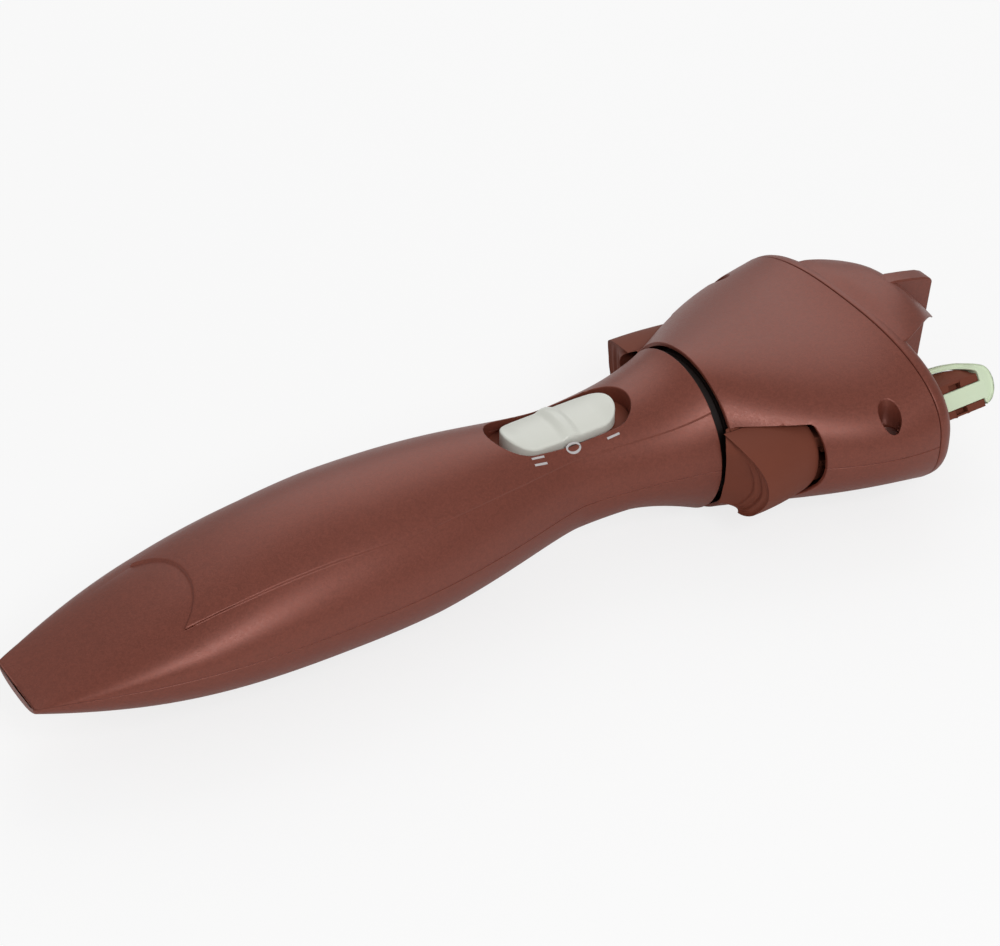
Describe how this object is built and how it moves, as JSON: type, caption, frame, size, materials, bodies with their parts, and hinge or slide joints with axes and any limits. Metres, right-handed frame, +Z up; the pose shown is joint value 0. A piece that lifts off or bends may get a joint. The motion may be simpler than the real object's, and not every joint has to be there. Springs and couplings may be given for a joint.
{
  "type": "hair_braider",
  "caption": "Battery hair braider: swelling handle with a slide switch, a turning head with side levers, a nose fin and hooks that twist and grip the strands",
  "frame": {"origin": "on the resting plane, under the middle of the object's box", "axes": "+X points forward from the butt of the handle to the hooks, +Y to the left, +Z up; the head turns about a line along X"},
  "size_m": [0.244, 0.079, 0.0414],
  "materials": {
    "shell": "pearl satin with fine metallic grain",
    "matte_brown": "matte",
    "mint": "satin",
    "pearl": "pearl satin",
    "dark_drum": "matte",
    "black_plastic": "matte",
    "gear_plastic": "satin",
    "cell_wrap": "satin",
    "steel": "satin",
    "brass": "satin",
    "copper": "satin",
    "board": "satin",
    "lead_red": "satin"
  },
  "bodies": {
    "handle": {"handle_upper_shell": "shell", "handle_lower_shell": "shell", "battery_cell_left": "cell_wrap", "battery_cell_right": "cell_wrap", "battery_cradle": "black_plastic", "contact_springs": "steel", "contact_plates": "steel", "power_leads": "lead_red", "switch_guide": "matte_brown", "slide_switch_body": "steel", "circuit_board": "board", "motor_can": "steel", "motor_end_cap": "black_plastic", "gearbox_rear_plate": "steel", "gearbox_mid_plate": "steel", "gearbox_front_plate": "steel", "gearbox_posts": "brass", "gear_arbors": "steel", "neck_tube": "dark_drum", "neck_collar": "dark_drum", "retaining_ring": "steel", "handle_screws": "steel", "gearbox_screws": "steel"},
    "battery_door": {"battery_door": "shell"},
    "switch": {"switch_button": "pearl", "switch_carriage": "black_plastic"},
    "motor_rotor": {"motor_shaft": "steel", "motor_core": "copper", "motor_pinion": "brass"},
    "gear_a": {"gear_a": "gear_plastic"},
    "gear_b": {"gear_b": "gear_plastic"},
    "gear_c": {"output_gear": "gear_plastic", "clutch_sleeve": "steel"},
    "head": {"head_upper_shell": "shell", "head_lower_shell": "shell", "head_rear_plate": "dark_drum", "nose_cap": "shell", "separator_fin": "shell", "gear_frame_plate": "steel", "front_bearing_plate": "steel", "hook_bushes": "brass", "idler_pins": "steel", "head_screws": "steel", "lever_spring_left": "steel", "lever_spring_right": "steel"},
    "drive_shaft": {"main_shaft": "steel", "sun_gear": "gear_plastic"},
    "idler_left": {"idler_gear_left": "gear_plastic"},
    "idler_right": {"idler_gear_right": "gear_plastic"},
    "hook_left": {"hook_gear_left": "gear_plastic", "hook_spindle_left": "steel", "hook_block_left": "matte_brown"},
    "hook_right": {"hook_gear_right": "gear_plastic", "hook_spindle_right": "steel", "hook_block_right": "matte_brown"},
    "gripper_left": {"hook_gripper_left": "mint"},
    "gripper_right": {"hook_gripper_right": "mint"},
    "lever_left": {"lever_left": "matte_brown"},
    "lever_right": {"lever_right": "matte_brown"}
  },
  "joints": [
    {"name": "head_spin", "type": "hinge", "parent": "handle", "child": "head", "pos_m": [0.0496, 0, 0.0208], "axis": [1, 0, 0], "continuous": true},
    {"name": "drive_spin", "type": "hinge", "parent": "head", "child": "drive_shaft", "pos_m": [0.078, 0, 0.0208], "axis": [1, 0, 0], "continuous": true},
    {"name": "rotor_spin", "type": "hinge", "parent": "handle", "child": "motor_rotor", "pos_m": [0.018, 0, 0.0163], "axis": [1, 0, 0], "continuous": true},
    {"name": "gear_a_spin", "type": "hinge", "parent": "handle", "child": "gear_a", "pos_m": [0.034, 0, 0.0263], "axis": [1, 0, 0], "continuous": true},
    {"name": "gear_b_spin", "type": "hinge", "parent": "handle", "child": "gear_b", "pos_m": [0.038, 0.00775, 0.0243], "axis": [1, 0, 0], "continuous": true},
    {"name": "gear_c_spin", "type": "hinge", "parent": "handle", "child": "gear_c", "pos_m": [0.041, 0, 0.0208], "axis": [1, 0, 0], "continuous": true},
    {"name": "idler_left_spin", "type": "hinge", "parent": "head", "child": "idler_left", "pos_m": [0.09, 0.013, 0.0208], "axis": [1, 0, 0], "continuous": true},
    {"name": "idler_right_spin", "type": "hinge", "parent": "head", "child": "idler_right", "pos_m": [0.09, -0.013, 0.0208], "axis": [1, 0, 0], "continuous": true},
    {"name": "hook_left_spin", "type": "hinge", "parent": "head", "child": "hook_left", "pos_m": [0.099, 0.026, 0.0208], "axis": [1, 0, 0], "continuous": true},
    {"name": "hook_right_spin", "type": "hinge", "parent": "head", "child": "hook_right", "pos_m": [0.099, -0.026, 0.0208], "axis": [1, 0, 0], "continuous": true},
    {"name": "switch_slide", "type": "slide", "parent": "handle", "child": "switch", "axis": [1, 0, 0], "range_m": [-0.003, 0.003]},
    {"name": "battery_door_lift", "type": "slide", "parent": "handle", "child": "battery_door", "axis": [0, 0, -1], "range_m": [0, 0.06]},
    {"name": "lever_left_slide", "type": "slide", "parent": "head", "child": "lever_left", "axis": [1, 0, 0], "range_m": [0, 0.0045], "stiffness_N_per_m": 300, "springref_m": -0.002, "deforming": ["lever_spring_left"]},
    {"name": "lever_right_slide", "type": "slide", "parent": "head", "child": "lever_right", "axis": [1, 0, 0], "range_m": [0, 0.0045], "stiffness_N_per_m": 300, "springref_m": -0.002, "deforming": ["lever_spring_right"]},
    {"name": "gripper_left_slide", "type": "slide", "parent": "hook_left", "child": "gripper_left", "axis": [1, 0, 0], "range_m": [0, 0.0045]},
    {"name": "gripper_right_slide", "type": "slide", "parent": "hook_right", "child": "gripper_right", "axis": [1, 0, 0], "range_m": [0, 0.0045]}
  ],
  "couplings": [
    {"joint": "rotor_spin", "follows": "drive_spin", "ratio": -7.1296},
    {"joint": "gear_a_spin", "follows": "drive_spin", "ratio": 3.0556},
    {"joint": "gear_b_spin", "follows": "drive_spin", "ratio": -1.8333},
    {"joint": "gear_c_spin", "follows": "drive_spin", "ratio": 1},
    {"joint": "idler_left_spin", "follows": "drive_spin", "ratio": -1.6},
    {"joint": "idler_right_spin", "follows": "drive_spin", "ratio": -1.6},
    {"joint": "hook_left_spin", "follows": "drive_spin", "ratio": 1},
    {"joint": "hook_right_spin", "follows": "drive_spin", "ratio": 1},
    {"joint": "gripper_left_slide", "follows": "lever_left_slide", "ratio": 1},
    {"joint": "gripper_right_slide", "follows": "lever_right_slide", "ratio": 1}
  ]
}
